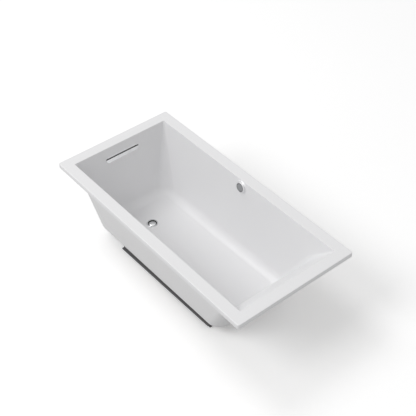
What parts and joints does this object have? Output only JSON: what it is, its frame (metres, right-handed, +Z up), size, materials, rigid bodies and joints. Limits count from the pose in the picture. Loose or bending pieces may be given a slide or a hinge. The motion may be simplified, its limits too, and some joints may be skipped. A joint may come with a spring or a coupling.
{
  "type": "drop-in bathtub",
  "caption": "Rectangular drop-in bath: drafted basin with one sloping backrest under a flat rim, on a low timber base, with slotted overflow and pop-up plug worked by a rotary control",
  "frame": {"origin": "on the ground under the middle of the rim", "axes": "+X from the drain end to the backrest, +Y to the wall with the rotary control, +Z up"},
  "size_m": [1.6764, 0.8128, 0.5334],
  "materials": {
    "enamel": "glossy sanitary acrylic, smooth, low sheen on the flats",
    "bed": "cast filler, matt",
    "board": "resin-bonded board, sawn edges",
    "rail": "dark stained softwood, planed",
    "stiffener": "resin-bonded board strips",
    "chrome": "bright polished plating",
    "dark_ring": "dark inlay, fine matt grain",
    "satin": "satin turned face",
    "rubber": "moulded, matt",
    "pvc": "moulded waste fittings, semi-gloss",
    "pvc_pipe": "extruded pipe, semi-gloss",
    "brass": "machined",
    "steel": "zinc plated",
    "stainless": "turned stainless"
  },
  "bodies": {
    "tub": {"bath_shell": "enamel", "floor_bed": "bed", "base_board": "board", "base_rail_near": "rail", "base_rail_far": "rail", "cross_rails": "rail", "rail_screws": "steel", "rim_stiffener_far": "stiffener", "rim_stiffener_near": "stiffener", "rim_stiffener_drain": "stiffener", "rim_stiffener_back": "stiffener", "drain_flange": "chrome", "drain_gasket": "rubber", "drain_shoe": "pvc", "waste_pipe": "pvc_pipe", "waste_tee": "pvc", "overflow_box": "pvc", "overflow_gasket": "rubber", "overflow_pipe": "pvc_pipe", "riser_nuts": "pvc", "overflow_trim": "chrome", "overflow_nuts": "brass", "control_body": "pvc", "control_gasket": "rubber", "control_nut": "brass", "control_escutcheon": "chrome"},
    "control": {"control_knob": "chrome", "control_ring": "dark_ring", "control_cap": "satin", "control_spindle": "brass", "control_crank": "steel"},
    "plug": {"plug_cap": "chrome", "plug_seal": "rubber", "plug_stem": "stainless"},
    "lever": {"lift_lever": "stainless"}
  },
  "joints": [
    {"name": "control_turn", "type": "hinge", "parent": "tub", "child": "control", "pos_m": [0.002, 0.32868, 0.4884], "axis": [0, -0.9903, 0.1392], "range_deg": [0, 90]},
    {"name": "plug_lift", "type": "slide", "parent": "tub", "child": "plug", "axis": [0, 0, 1], "range_m": [0, 0.01]},
    {"name": "lever_tilt", "type": "hinge", "parent": "tub", "child": "lever", "pos_m": [-0.505, 0, 0.012], "axis": [0, -1, 0], "range_deg": [0, 23.58]}
  ],
  "couplings": [
    {"joint": "plug_lift", "follows": "control_turn", "m_per_rad": 0.006365},
    {"joint": "lever_tilt", "follows": "control_turn", "ratio": 0.2619}
  ]
}
